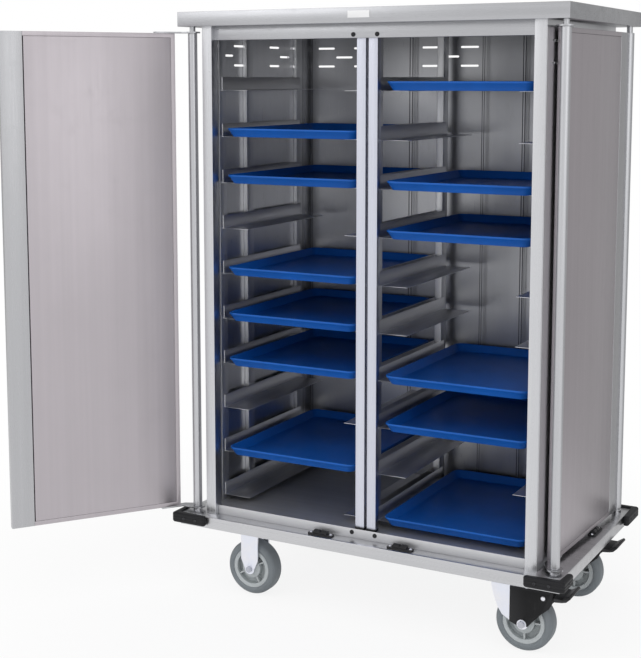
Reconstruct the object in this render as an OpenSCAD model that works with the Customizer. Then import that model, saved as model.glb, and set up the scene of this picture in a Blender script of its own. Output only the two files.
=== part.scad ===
// Enclosed meal tray cart: a stainless cabinet on a bumpered chassis, ten tray levels on each side of an
// open centre rack, two doors that swing right back along the side walls, two rigid casters on the left
// and two braked swivel casters on the right. Millimetres, Z up from the floor.
// The cart is drawn about its own datum: X from its lateral centre, Y rearward from the front edge of the
// chassis. placed() then moves every piece so that the origin is under the middle of the standing cart.

/* [Chassis] */
// Length of the chassis pan, side to side
chassis_length = 1117; // [1110:1:1300]
// Depth of the chassis pan, front to rear
chassis_depth = 641; // [632:1:800]
// Height of the pan's skirts
chassis_thickness = 32; // [26:1:60]
// Sheet that the pan and the caster rails are folded from
chassis_sheet = 2; // [1.2:0.1:3]
// Width of the two rails that carry the casters
rail_width = 110; // [104:1:140]
// How far a corner bumper stands out from the pan
bumper_depth = 18; // [12:1:30]
// Reach of a bumper's long leg from the corner
bumper_leg = 90; // [76:1:140]
// Reach of a bumper's short leg from the corner
bumper_return = 58; // [50:1:120]
// Height of a bumper
bumper_height = 29; // [20:1:36]

/* [Cabinet] */
// Outside width over the side walls
cabinet_width = 978; // [940:1:984]
// Height from the deck to the underside of the roof
cabinet_height = 1363; // [1340:1:1700]
// Front face of the corner posts, behind the chassis front edge
cabinet_front = 28; // [22:1:40]
// Outside face of the back wall, behind the chassis front edge
cabinet_rear = 600; // [592:1:616]
// Stainless sheet of the walls, floor, header and roof
sheet = 1.5; // [1:0.1:2]
// Face width of a front corner post
post_width = 30; // [20:1:36]
// Depth of a front corner post
post_depth = 30; // [20:1:40]
// How far the header and the sill stand back from the posts
face_step = 14; // [6:1:20]
// Height of the header over the doorway
header_height = 37; // [25:1:50]
// Depth of the header box
header_depth = 36; // [34:1:44]
// Height of the cabinet floor over the deck
floor_height = 20; // [12:1:26]
// How far the sill lip stands up over the floor
sill_lip = 6; // [2:0.5:10]
// Height of the roof cap
roof_height = 39; // [25:1:60]
// Overhang of the chassis past the roof at each end
roof_inset = 7; // [0:0.5:9]
// Overhang of the chassis past the roof at front and rear
roof_setback = 4; // [0:0.5:10]
// Width of the bare plate on the roof's front
plate_width = 62; // [30:1:120]
// Height of the bare plate on the roof's front
plate_height = 18; // [10:1:24]

/* [Centre mullion] */
// Face width of one mullion strip
mullion_width = 26; // [16:1:32]
// Open slot between the two strips
mullion_gap = 8; // [4:1:16]
// Front face of the strips, behind the posts' front face
mullion_step = 26; // [20:1:28]
// Depth of a strip
mullion_depth = 20; // [10:1:22]
// Height of the foot under each strip
mullion_foot = 8; // [7:1:20]
// Diameter of the door stop buttons
button_diameter = 12; // [6:1:16]

/* [Corner tubes] */
// Outside diameter of the four corner tubes
tube_diameter = 25.4; // [20:0.1:30]
// Wall of the corner tubes
tube_wall = 1.5; // [1:0.1:3]
// From a side wall out to the axis of its tubes
tube_reach = 41; // [40:0.5:45]
// Axis of the front tubes, behind the front face of the corner posts
tube_step = 18; // [17:0.5:18.5]
// Axis of the rear tubes, ahead of the chassis rear edge
tube_back = 49; // [36:1:52]
// Diameter of the pins that hold the tubes and hinge the doors
pin_diameter = 16; // [10:1:18]

/* [Doors] */
// Thickness of a door
door_thickness = 19; // [15:1:24]
// Gap between the closed doors
door_gap = 10; // [6:1:20]
// Clear height between the deck and the doors
door_bottom_gap = 13; // [13:1:30]
// Clear height between the doors and the roof
door_top_gap = 17; // [12:1:40]
// From the hinge axis to the door's hinge edge
hinge_gap = 45; // [42:1:60]
// Gap between a closed door and the corner posts
door_seat = 0.5; // [0.4:0.1:1]
// Skin of a door
door_skin = 1.2; // [0.8:0.1:1.5]
// Width of the flat stile along the door's free edge
stile_width = 61; // [40:1:80]
// Return flange round the inner panel
door_flange = 12; // [8:1:20]
// Thickness of a hinge arm
arm_thickness = 4; // [3:0.5:6]
// Diameter of a hinge arm's round end
arm_eye = 42; // [30:1:48]
// How far a hinge arm laps the door
arm_lap = 55; // [30:1:90]
// Angle at which the left door stands open, in degrees
left_open = 126.3; // [90:0.1:180]
// Angle at which the right door stands open, folded back along the side wall, in degrees
right_open = 267.5; // [180:0.1:269]

/* [Racks] */
// Height from one level to the next
level_pitch = 128.3; // [110:0.1:129]
// Top of the lowest ledge over the cabinet floor
first_level = 17; // [12:1:30]
// Width of a ledge's shelf
ledge_width = 82; // [60:1:100]
// Height of a ledge's upright flange
ledge_flange = 35; // [20:1:60]
// Length of a ledge, front to rear
ledge_length = 440; // [400:1:455]
// Front end of the ledges, behind the chassis front edge
ledge_front = 108; // [95:1:110]
// Width of a rack upright, front to rear
upright_width = 35; // [20:1:44]
// How far an upright stands ahead of the ledges' ends
upright_overlap = 15; // [8:1:20]
// Where the side walls' middle upright starts, behind the ledges' front ends
middle_upright = 130; // [80:1:350]
// Thickness of the open rack in the cart's centre
centre_rack = 21; // [12:1:34]
// Depth of the uprights on the side walls
wall_upright = 12; // [6:0.5:20]

/* [Trays] */
// Width of a tray
tray_width = 402; // [340:1:410]
// Length of a tray, front to rear
tray_length = 508; // [440:1:515]
// Height of a tray
tray_height = 24; // [16:1:40]
// Wall of a tray
tray_wall = 3; // [2:0.5:5]
// How far a tray's rim flares past its base
tray_flare = 12; // [4:1:16]
// Corner radius of the tray's rim
tray_corner = 24; // [20:1:60]
// Front edge of the stored trays, behind the chassis front edge
tray_front = 70; // [62:1:74]

/* [Vents] */
// Length of a vent slot
slot_length = 56; // [20:1:60]
// Height of a vent slot
slot_height = 6; // [3:0.5:10]
// From one row of slots to the next
slot_row = 27; // [16:1:34]
// Top row of slots, below the roof
slot_drop = 49; // [44:1:60]
// From a group's centre to the slots in its outer rows
slot_offset = 61; // [58:1:66]

/* [Casters] */
// Height of a caster, floor to chassis
caster_height = 188; // [186:1:240]
// Wheel diameter over the tread
wheel_diameter = 152.4; // [120:0.1:155]
// Width of the tread
tread_width = 50; // [30:1:50]
// Radius of the rim that the tyre sits on
rim_radius = 56; // [50:0.5:58]
// Length of the hub along the axle
hub_length = 54; // [48:1:60]
// Diameter of the axle bolt
axle_diameter = 12; // [8:1:14]
// Thickness of a fork's legs
fork_plate = 5; // [3:0.5:6]
// Thickness of a caster's mounting plate
caster_plate = 6; // [4:0.5:8]
// Length of a mounting plate, side to side
plate_length = 130; // [124:1:150]
// Width of a mounting plate, front to rear
plate_depth = 100; // [96:1:104]
// From the swivel axis back to the wheel's axle
trail = 38; // [25:1:42]
// Diameter of the swivel's kingpin
kingpin_diameter = 16; // [12:1:20]
// Wheel centre of the rigid casters, left of the cart's centre
rigid_x = 355; // [300:1:420]
// Swivel axis of the swivel casters, right of the cart's centre
swivel_x = 412; // [360:1:430]
// Axle line of the front casters, behind the chassis front edge
front_caster = 72; // [60:1:90]
// Axle line of the rear casters, behind the chassis front edge
rear_caster = 480; // [420:1:560]
// Thickness of the brake side plates
brake_plate = 4; // [3:0.5:5]
// Width of the brake pedal's foot bar
pedal_width = 80; // [60:1:100]

/* [Door catches] */
// Length of a catch's base
catch_length = 73; // [64:1:90]
// Width of a catch's base
catch_width = 22; // [16:1:23]
// Height of a catch over the deck
catch_height = 12; // [8:0.5:12]
// Distance of the front catches from the cart's centre
front_catch_x = 118; // [60:1:300]
// Middle of the front catches, behind the chassis front edge
front_catch_y = 23; // [12:0.5:28]
// Middle of the side catches, behind the chassis front edge
side_catch_y = 392; // [200:1:450]

/* [Hidden] */

// Round edges are true circles; faceted ones take this many steps
$fn = 64;
facets = 32;

// Clearances
cut = 1;                  // cutters run past the face they open
running = 0.05;           // radial clearance of a pin or bolt in its hole
seat_gap = 0.3;           // between pieces that move past each other
fit_gap = 0.5;            // between panels laid side by side
side_gap = 0.5;           // between a hub's end and the fork

// Colours
stainless = [0.78, 0.78, 0.80];
door_steel = [0.70, 0.68, 0.69];
dull_steel = [0.52, 0.52, 0.53];
zinc = [0.85, 0.86, 0.91];
black = [0.14, 0.14, 0.15];
tray_blue = [0.10, 0.32, 0.67];
tyre_grey = [0.45, 0.47, 0.49];
hub_grey = [0.68, 0.70, 0.71];

// Levels
deck_top = caster_height + chassis_thickness;
pan_underside = deck_top - chassis_sheet;
roof_bottom = deck_top + cabinet_height;
roof_top = roof_bottom + roof_height;
floor_top = deck_top + floor_height;
door_bottom = deck_top + door_bottom_gap;
door_top = roof_bottom - door_top_gap;
door_height = door_top - door_bottom;
header_bottom = roof_bottom - header_height;

// Cabinet planes
half_cabinet = cabinet_width / 2;
half_inside = half_cabinet - sheet;
post_inner = half_inside - post_width;
post_back = cabinet_front + post_depth;
face_front = cabinet_front + face_step;
mullion_front = cabinet_front + mullion_step;

// Tube axes, which the doors swing about
tube_x = half_cabinet + tube_reach;
tube_front = cabinet_front + tube_step;

// Doors, measured from the hinge axis
door_offset = tube_step + door_seat;
door_width = tube_x - hinge_gap - door_gap / 2;
door_edge = hinge_gap + door_width;
door_outer = door_offset + door_thickness;

// Racks and trays
level_count = 10;         // level 1 is the top one
rack_inner = centre_rack / 2;
rack_outer = half_inside - wall_upright;
tray_x = (rack_inner + rack_outer) / 2;

// Casters
wheel_radius = wheel_diameter / 2;
axle_radius = axle_diameter / 2;
fork_inner = hub_length / 2 + side_gap;
fork_outer = fork_inner + fork_plate;
plate_bottom = caster_height - caster_plate;
race_height = 10;
crown_height = 10;
crown_top = plate_bottom - race_height;
crown_bottom = crown_top - crown_height;
race_radius = 30;
axle_boss = 15;
hub_disc_radius = 28;
rim_inner = rim_radius - 11;
hub_barrel = 16;
bolt_radius = 4;
bolt_x = 52;
bolt_y = 41;
bolt_head = 6.5;
bolt_head_height = 5;

// Brake, measured from the swivel axis
pivot_x = 93;
pivot_z = wheel_radius + 78;
pivot_radius = 4;
pedal_reach = 72;         // from the pivot to the foot bar's outer edge
brake_outer = fork_outer + brake_plate;

// Screws of the bumpers and catches
screw_radius = 2;
screw_head = 4.2;
screw_head_height = 2.2;
bumper_screws = [22, 60];   // on the long leg; the short leg has the first one only
bumper_rise = 4;           // the bumpers stand this far over the deck
bumper_bottom = deck_top + bumper_rise - bumper_height;
catch_base = 4;
catch_screw = catch_length / 2 - 7;    // from a catch's middle to its screws
catch_inset = 30.5;        // the side catches' middle, inboard of the pan's end

// The origin is under the middle of the box round the standing cart: the left door's free edge and the
// right pedals bound it sideways, the left door and the rear bumpers bound it front and rear.
function turned(x, y, a) = [x * cos(a) - y * sin(a), x * sin(a) + y * cos(a)];
left_door_outer = turned(door_edge, -door_outer, -left_open);
left_door_inner = turned(door_edge, -door_offset, -left_open);
box_left = -tube_x + left_door_outer[0];
box_right = max(chassis_length / 2 + bumper_depth + screw_head_height, swivel_x + pivot_x + pedal_reach);
box_front = tube_front + left_door_inner[1];
box_rear = chassis_depth + bumper_depth + screw_head_height;
origin_x = (box_left + box_right) / 2;
origin_y = (box_front + box_rear) / 2;

module placed() {
    translate([-origin_x, -origin_y, 0]) children();
}

// A box from one corner to the opposite one
module box(a, b) {
    translate(a) cube(b - a);
}

// A cylinder along Y, from y0 to y1
module rod_y(x, z, r, y0, y1) {
    translate([x, y1, z]) rotate([90, 0, 0]) cylinder(r = r, h = y1 - y0);
}

// A side outline, drawn in X and Z, run from y0 to y1
module side_plate(y0, y1) {
    translate([0, y1, 0]) rotate([90, 0, 0]) linear_extrude(y1 - y0) children();
}

// A side outline run from one distance to another, ahead of the plane y = 0 and behind it
module plate_pair(inner, outer) {
    side_plate(inner, outer) children();
    side_plate(-outer, -inner) children();
}

// The same piece on the left and on the right
module both_sides() {
    children();
    mirror([1, 0, 0]) children();
}

// The same piece at the front and at the rear
module both_ends() {
    children();
    mirror([0, 1, 0]) children();
}

// ---- Chassis ----

// Puts a piece drawn for the corner at the right rear, outside toward +X and +Y, at all four corners
module at_corners() both_sides() {
    translate([chassis_length / 2, chassis_depth, 0]) children();
    translate([chassis_length / 2, 0, 0]) rotate([0, 0, -90]) children();
}

// Puts a piece drawn pointing out along +Y at each bumper screw of one corner
module at_bumper_screws() {
    translate([0, 0, bumper_bottom + bumper_height / 2]) {
        translate([-bumper_screws[0], 0, 0]) children();
        for (s = bumper_screws) translate([0, -s, 0]) rotate([0, 0, -90]) children();
    }
}

// Puts a piece drawn about a catch's middle, long way along X, at the four catches
module at_catches() {
    both_sides() {
        translate([front_catch_x, front_catch_y, deck_top]) children();
        translate([chassis_length / 2 - catch_inset, side_catch_y, deck_top]) rotate([0, 0, 90]) children();
    }
}

module screw_bore(depth) {
    cylinder(r = screw_radius + running, h = depth);
}

module chassis_pan() color(stainless) placed() {
    half = chassis_length / 2;
    difference() {
        box([-half, 0, caster_height], [half, chassis_depth, deck_top]);
        box([-half + chassis_sheet, chassis_sheet, caster_height - cut],
            [half - chassis_sheet, chassis_depth - chassis_sheet, pan_underside]);
        at_corners() at_bumper_screws()
            translate([0, cut, 0]) rotate([90, 0, 0]) screw_bore(chassis_sheet + 2 * cut);
        at_catches() for (s = [-1, 1])
            translate([s * catch_screw, 0, -chassis_sheet - cut]) screw_bore(chassis_sheet + 2 * cut);
    }
}

// Puts a piece drawn about a caster's mounting centre under each of the four casters
module at_casters() {
    for (y = [front_caster, rear_caster]) {
        translate([-rigid_x, y, 0]) children();
        translate([swivel_x, y, 0]) children();
    }
}

module at_caster_bolts() {
    for (sx = [-1, 1], sy = [-1, 1])
        translate([sx * bolt_x, sy * bolt_y, 0]) children();
}

module caster_rails() color(stainless) placed() {
    screw_room = 5;            // the bumper screws come through the skirts
    half = chassis_length / 2 - chassis_sheet - screw_room;
    difference() {
        for (y = [front_caster, rear_caster])
            difference() {
                box([-half, y - rail_width / 2, caster_height], [half, y + rail_width / 2, pan_underside]);
                box([-half - cut, y - rail_width / 2 + chassis_sheet, caster_height + chassis_sheet],
                    [half + cut, y + rail_width / 2 - chassis_sheet, pan_underside - chassis_sheet]);
            }
        at_casters() at_caster_bolts()
            translate([0, 0, caster_height - cut])
                cylinder(r = bolt_radius + running, h = chassis_sheet + 2 * cut);
    }
}

module bumper_outline() {
    end = bumper_depth / 2;
    round = 8;
    translate([-bumper_return + end, 0])
        square([bumper_return - end + bumper_depth - round, bumper_depth]);
    translate([0, -bumper_leg + end]) square([bumper_depth, bumper_leg - end + bumper_depth - round]);
    translate([bumper_depth - round, bumper_depth - round]) circle(round);
    translate([-bumper_return + end, end]) circle(end);
    translate([end, -bumper_leg + end]) circle(end);
}

module corner_bumpers() color(black) placed() {
    at_corners() difference() {
        translate([0, 0, bumper_bottom]) linear_extrude(bumper_height) bumper_outline();
        at_bumper_screws()
            translate([0, bumper_depth + cut, 0]) rotate([90, 0, 0]) screw_bore(bumper_depth + 2 * cut);
    }
}

// A pan-head screw whose head sits on the plane z = 0, shank downward
module pan_screw(length) {
    cylinder(r = screw_head, h = screw_head_height);
    translate([0, 0, -length]) cylinder(r = screw_radius, h = length + screw_head_height);
}

module trim_screws() color(zinc) placed() {
    screw_end = 2;             // shows behind the skirt
    at_corners() at_bumper_screws() translate([0, bumper_depth, 0]) rotate([-90, 0, 0])
        pan_screw(bumper_depth + chassis_sheet + screw_end);
    at_catches() for (s = [-1, 1])
        translate([s * catch_screw, 0, catch_base]) pan_screw(catch_base + chassis_sheet);
}

// ---- Cabinet ----

// One vent slot, lying along X in the plane y = 0
module slot() {
    r = slot_height / 2;
    side_plate(-sheet - cut, sheet + cut) {
        square([slot_length - slot_height, slot_height], center = true);
        for (s = [-1, 1]) translate([s * (slot_length / 2 - r), 0]) circle(r);
    }
}

// Two long rows with a slot between them, about the group's centre
module vent_group() {
    top = roof_bottom - slot_drop;
    for (row = [0, 2], s = [-1, 1])
        translate([s * slot_offset, 0, top - row * slot_row]) slot();
    translate([0, 0, top - slot_row]) slot();
}

back_groups = [-348, 0, 348];
side_groups = [130, 450];      // behind the posts' front face
wall_setback = 2;              // the side walls start this far behind the posts' front face

module side_wall() {
    difference() {
        box([half_inside, cabinet_front + wall_setback, deck_top], [half_cabinet, cabinet_rear, roof_bottom]);
        for (y = side_groups)
            translate([half_inside, cabinet_front + y, 0]) rotate([0, 0, 90]) vent_group();
    }
}

module side_wall_left() color(stainless) placed() mirror([1, 0, 0]) side_wall();

module side_wall_right() color(stainless) placed() side_wall();

back_return = 18;              // the back wall's side flanges reach this far forward

module back_wall() color(stainless) placed() {
    difference() {
        box([-half_inside, cabinet_rear - sheet - back_return, deck_top],
            [half_inside, cabinet_rear, roof_bottom]);
        box([-half_inside + sheet, cabinet_rear - sheet - back_return - cut, deck_top - cut],
            [half_inside - sheet, cabinet_rear - sheet, roof_bottom + cut]);
        for (x = back_groups) translate([x, cabinet_rear, 0]) vent_group();
    }
}

// The floor's outline, cut back round the posts
module floor_outline(inset) {
    side = half_inside - sheet - fit_gap - inset;
    neck = post_inner - fit_gap - inset;
    front = face_front + inset;
    step = post_back + fit_gap + inset;
    rear = cabinet_rear - sheet - fit_gap - inset;
    polygon([[-neck, front], [neck, front], [neck, step], [side, step], [side, rear],
             [-side, rear], [-side, step], [-neck, step]]);
}

module cabinet_floor() color(dull_steel) placed() {
    neck = post_inner - fit_gap;
    difference() {
        translate([0, 0, deck_top]) linear_extrude(floor_height) floor_outline(0);
        translate([0, 0, deck_top - cut]) linear_extrude(floor_height - sheet + cut) floor_outline(sheet);
    }
    box([-neck, face_front, deck_top], [neck, face_front + sheet, floor_top + sill_lip]);
}

module front_posts() color(stainless) placed() both_sides() {
    difference() {
        box([post_inner, cabinet_front, deck_top], [half_inside, post_back, roof_bottom]);
        box([post_inner + sheet, cabinet_front + sheet, deck_top - cut],
            [half_inside - sheet, post_back - sheet, roof_bottom + cut]);
    }
}

module header() color(stainless) placed() {
    difference() {
        box([-post_inner, face_front, header_bottom],
            [post_inner, face_front + header_depth, roof_bottom]);
        box([-post_inner - cut, face_front + sheet, header_bottom + sheet],
            [post_inner + cut, face_front + header_depth - sheet, roof_bottom - sheet]);
    }
}

module mullions() color(stainless) placed() both_sides() {
    inner = mullion_gap / 2;
    outer = inner + mullion_width;
    bottom = floor_top + mullion_foot;
    difference() {
        box([inner, mullion_front, bottom], [outer, mullion_front + mullion_depth, header_bottom]);
        box([inner + sheet, mullion_front + sheet, bottom - cut],
            [outer - sheet, mullion_front + mullion_depth + cut, header_bottom + cut]);
    }
}

module mullion_feet() color(black) placed() both_sides() {
    inner = mullion_gap / 2;
    toe = 2;
    box([inner, mullion_front - toe, floor_top],
        [inner + mullion_width, mullion_front + mullion_depth, floor_top + mullion_foot]);
}

button_x = 34;
button_thickness = 4;
button_heights = [deck_top + 16, header_bottom + 9];    // on the sill and on the header

module stop_buttons() color(black) placed() both_sides() {
    for (z = button_heights)
        rod_y(button_x, z, button_diameter / 2, face_front - button_thickness, face_front);
}

roof_half = chassis_length / 2 - roof_inset;

module roof_cap() color(stainless) placed() {
    hatch_side = 80;           // the underside is open over the compartments
    hatch_end = 180;
    difference() {
        box([-roof_half, roof_setback, roof_bottom], [roof_half, chassis_depth - roof_setback, roof_top]);
        box([-roof_half + sheet, roof_setback + sheet, roof_bottom + sheet],
            [roof_half - sheet, chassis_depth - roof_setback - sheet, roof_top - sheet]);
        box([-half_cabinet + hatch_side, face_front + hatch_end, roof_bottom - cut],
            [half_cabinet - hatch_side, cabinet_rear - hatch_end, roof_bottom + sheet + cut]);
    }
}

module roof_plate() color(zinc) placed() {
    middle = (roof_bottom + roof_top) / 2 + 2;
    box([-plate_width / 2, roof_setback - sheet, middle - plate_height / 2],
        [plate_width / 2, roof_setback, middle + plate_height / 2]);
}

// ---- Corner tubes ----

tube_bottom = door_bottom + seat_gap;
tube_top = door_top - seat_gap;
arm_bottom = door_bottom - arm_thickness;
arm_top = door_top + arm_thickness;
plug_length = 25;
collar_radius = tube_diameter / 2;

module at_tubes() {
    for (x = [-tube_x, tube_x], y = [tube_front, chassis_depth - tube_back])
        translate([x, y, 0]) children();
}

module corner_tubes() color(stainless) placed() at_tubes() {
    length = tube_top - tube_bottom;
    translate([0, 0, tube_bottom]) difference() {
        cylinder(d = tube_diameter, h = length);
        translate([0, 0, -cut]) cylinder(d = tube_diameter - 2 * tube_wall, h = length + 2 * cut);
    }
}

// Each tube hangs between a lower pin with a collar on the deck and an upper pin under the roof
module tube_pins() color(stainless) placed() at_tubes() {
    plug = tube_diameter / 2 - tube_wall - running;
    translate([0, 0, deck_top]) cylinder(r = collar_radius, h = arm_bottom - seat_gap - deck_top);
    translate([0, 0, deck_top]) cylinder(d = pin_diameter, h = tube_bottom + plug_length - deck_top);
    translate([0, 0, tube_bottom]) cylinder(r = plug, h = plug_length);
    translate([0, 0, tube_top - plug_length]) cylinder(r = plug, h = plug_length);
    translate([0, 0, tube_top - plug_length])
        cylinder(d = pin_diameter, h = roof_bottom - tube_top + plug_length);
}

// ---- Doors, drawn closed for the left side about the hinge axis, outside toward -Y ----

module on_hinge(side, angle) {
    translate([side * tube_x, tube_front, 0]) rotate([0, 0, side * angle])
        if (side > 0) mirror([1, 0, 0]) children();
        else children();
}

stile_start = door_edge - stile_width;

module door_shell() {
    difference() {
        box([hinge_gap, -door_outer, door_bottom], [door_edge, -door_offset, door_top]);
        // behind the outer skin
        box([hinge_gap + door_skin, -door_outer + door_skin, door_bottom + door_skin],
            [stile_start, -door_offset - door_skin, door_top - door_skin]);
        // the inner face, inside its return flange
        box([hinge_gap + door_flange, -door_outer + door_skin, door_bottom + door_flange],
            [stile_start, -door_offset + cut, door_top - door_flange]);
        // the stile's place, full height
        box([stile_start, -door_outer + door_skin, door_bottom - cut],
            [door_edge + cut, -door_offset + cut, door_top + cut]);
    }
}

// The inner panel is a shallow pan whose folded edges stand on the outer skin
module door_panel() {
    stile_gap = 2.5;
    u0 = hinge_gap + door_flange + fit_gap;
    u1 = stile_start - stile_gap;
    z0 = door_bottom + door_flange + fit_gap;
    z1 = door_top - door_flange - fit_gap;
    difference() {
        box([u0, -door_outer + door_skin, z0], [u1, -door_offset, z1]);
        box([u0 + door_skin, -door_outer + door_skin - cut, z0 + door_skin],
            [u1 - door_skin, -door_offset - door_skin, z1 - door_skin]);
    }
}

module door_stile() {
    difference() {
        box([stile_start, -door_outer + door_skin, door_bottom], [door_edge, -door_offset, door_top]);
        box([stile_start + door_skin, -door_outer + 2 * door_skin, door_bottom - cut],
            [door_edge - door_skin, -door_offset - door_skin, door_top + cut]);
    }
}

// A hinge arm runs from its round eye on the pin out to its lap on the door's end
module arm_outline() {
    r = arm_eye / 2;
    lap_end = hinge_gap + arm_lap;
    lap_start = hinge_gap - 7;
    difference() {
        union() {
            circle(r);
            polygon([[-r * cos(45), -r * sin(45)], [lap_start - 14, -door_outer], [lap_end, -door_outer],
                     [lap_end, -door_offset], [lap_start, -door_offset], [r * cos(45), r * sin(45)]]);
        }
        circle(pin_diameter / 2 + running);
    }
}

module door_arms() {
    for (z = [arm_bottom, door_top])
        translate([0, 0, z]) linear_extrude(arm_thickness) arm_outline();
}

module left_door_shell() color(door_steel) placed() on_hinge(-1, left_open) door_shell();
module left_door_panel() color(door_steel) placed() on_hinge(-1, left_open) door_panel();
module left_door_stile() color(stainless) placed() on_hinge(-1, left_open) door_stile();
module left_hinge_arms() color(stainless) placed() on_hinge(-1, left_open) door_arms();
module right_door_shell() color(door_steel) placed() on_hinge(1, right_open) door_shell();
module right_door_panel() color(door_steel) placed() on_hinge(1, right_open) door_panel();
module right_door_stile() color(stainless) placed() on_hinge(1, right_open) door_stile();
module right_hinge_arms() color(stainless) placed() on_hinge(1, right_open) door_arms();

// ---- Racks ----

upright_spots = [ledge_front - upright_overlap,
                 ledge_front + ledge_length - upright_width + upright_overlap];
wall_spots = concat(upright_spots, [ledge_front + middle_upright]);

module rack_uprights() color(dull_steel) placed() {
    for (y = upright_spots) difference() {
        box([-rack_inner, y, floor_top], [rack_inner, y + upright_width, roof_bottom]);
        box([-rack_inner + sheet, y + sheet, floor_top - cut],
            [rack_inner - sheet, y + upright_width - sheet, roof_bottom + cut]);
    }
    for (y = wall_spots) both_sides() difference() {
        box([rack_outer, y, floor_top], [half_inside, y + upright_width, roof_bottom]);
        box([rack_outer + sheet, y + sheet, floor_top - cut],
            [half_inside + cut, y + upright_width - sheet, roof_bottom + cut]);
    }
}

function ledge_top(level) = floor_top + first_level + (level_count - level) * level_pitch;

// A ledge with its upright flange on the plane x = 0 and its shelf reaching toward +X
module ledge() {
    box([0, ledge_front, -sheet], [ledge_width, ledge_front + ledge_length, 0]);
    box([0, ledge_front, -sheet], [sheet, ledge_front + ledge_length, ledge_flange]);
}

module rack_ledges() color(dull_steel) placed() {
    for (level = [1 : level_count]) both_sides() translate([0, 0, ledge_top(level)]) {
        translate([rack_inner, 0, 0]) ledge();
        translate([rack_outer, 0, 0]) mirror([1, 0, 0]) ledge();
    }
}

// ---- Trays ----

// A rectangle with round corners, about the tray's middle
module rounded(width, length, r) {
    hull() for (sx = [-1, 1], sy = [-1, 1])
        translate([sx * (width / 2 - r), sy * (length / 2 - r)]) circle(r, $fn = facets);
}

// A flared block as high as the tray, smaller all round by the inset
module tray_block(inset, height) {
    base = tray_flare + inset;
    hull() {
        linear_extrude(0.01)
            rounded(tray_width - 2 * base, tray_length - 2 * base, tray_corner - base / 2);
        translate([0, 0, height - 0.01]) linear_extrude(0.01)
            rounded(tray_width - 2 * inset, tray_length - 2 * inset, tray_corner - inset / 2);
    }
}

module tray(side, level) color(tray_blue) placed() {
    translate([side * tray_x, tray_front + tray_length / 2, ledge_top(level) + seat_gap]) difference() {
        tray_block(0, tray_height);
        translate([0, 0, tray_wall]) tray_block(tray_wall, tray_height);
    }
}

// ---- Casters, drawn about the mounting centre ----

module wheel_hub() {
    bore = axle_radius + running;
    end = hub_length / 2;
    face = tread_width / 2 - 2;
    web = 4;                   // half the thickness of the web between hub and rim
    rib = [rim_inner - hub_disc_radius + 4, 5, 2 * face - 8];
    rotate([90, 0, 0]) {
        rotate_extrude() polygon([
            [bore, -end], [hub_barrel, -end], [hub_barrel, -face - 2], [hub_disc_radius, -face],
            [hub_disc_radius, -web], [rim_inner, -web], [rim_inner, -face], [rim_radius, -face],
            [rim_radius, face], [rim_inner, face], [rim_inner, web], [hub_disc_radius, web],
            [hub_disc_radius, face], [hub_barrel, face + 2], [hub_barrel, end], [bore, end]
        ]);
        for (a = [30 : 90 : 300]) rotate([0, 0, a])
            translate([hub_disc_radius - 2, -rib[1] / 2, -rib[2] / 2]) cube(rib);
    }
}

// Points along an arc about (cx, cy), from angle a0 to angle a1 in n steps
function arc(cx, cy, r, a0, a1, n) = [for (i = [0 : n]) let (a = a0 + (a1 - a0) * i / n)
    [cx + r * cos(a), cy + r * sin(a)]];

module wheel_tyre() {
    shoulder = 14;
    half = tread_width / 2;
    bead = half - 3;
    seat = rim_radius + running;
    rotate([90, 0, 0]) rotate_extrude() polygon(concat(
        [[seat, -bead]],
        arc(wheel_radius - shoulder, -half + shoulder, shoulder, -90, 0, 6),
        arc(wheel_radius - shoulder, half - shoulder, shoulder, 0, 90, 6),
        [[seat, bead]]
    ));
}

// An axle bolt between its washers, which bear on planes this far either side of the wheel
module axle_bolt(bearing) {
    washer = 2;
    washer_radius = 12.5;
    head_radius = 8;
    head_height = 5;
    rod_y(0, 0, axle_radius, -bearing - washer, bearing + washer);
    both_ends() {
        rod_y(0, 0, washer_radius, bearing, bearing + washer);
        rod_y(0, 0, head_radius, bearing, bearing + washer + head_height);
    }
}

module mounting_plate() {
    difference() {
        box([-plate_length / 2, -plate_depth / 2, plate_bottom],
            [plate_length / 2, plate_depth / 2, caster_height]);
        at_caster_bolts() translate([0, 0, plate_bottom - cut])
            cylinder(r = bolt_radius + running, h = caster_plate + 2 * cut);
    }
}

// The axle's hole through both legs of a fork and the brake plates outside them
module axle_eye(x) {
    rod_y(x, wheel_radius, axle_radius + running, -brake_outer - cut, brake_outer + cut);
}

module rigid_fork() {
    leg = 27;
    crown = 60;
    shoulder = wheel_radius + 27;    // the legs narrow to the axle from here
    mounting_plate();
    box([-crown, -fork_outer, crown_top], [crown, fork_outer, plate_bottom]);
    difference() {
        plate_pair(fork_inner, fork_outer) {
            polygon([[-leg, plate_bottom], [leg, plate_bottom], [leg, shoulder],
                     [axle_boss, wheel_radius], [-axle_boss, wheel_radius], [-leg, shoulder]]);
            translate([0, wheel_radius]) circle(axle_boss);
        }
        axle_eye(0);
    }
}

module rigid_forks() color(zinc) placed()
    for (y = [front_caster, rear_caster]) translate([-rigid_x, y, 0]) rigid_fork();

module rigid_axles() color(zinc) placed()
    for (y = [front_caster, rear_caster]) translate([-rigid_x, y, wheel_radius]) axle_bolt(fork_outer);

module swivel_plate() {
    nut_height = 7;
    nut_radius = kingpin_diameter / 2 + 4.5;
    mounting_plate();
    translate([0, 0, crown_top + seat_gap]) cylinder(r = race_radius, h = race_height - seat_gap);
    translate([0, 0, crown_bottom - seat_gap - nut_height])
        cylinder(d = kingpin_diameter, h = crown_height + nut_height + race_height);
    translate([0, 0, crown_bottom - seat_gap - nut_height])
        cylinder(r = nut_radius, h = nut_height);
}

module swivel_plates() color(zinc) placed()
    for (y = [front_caster, rear_caster]) translate([swivel_x, y, 0]) swivel_plate();

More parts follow.
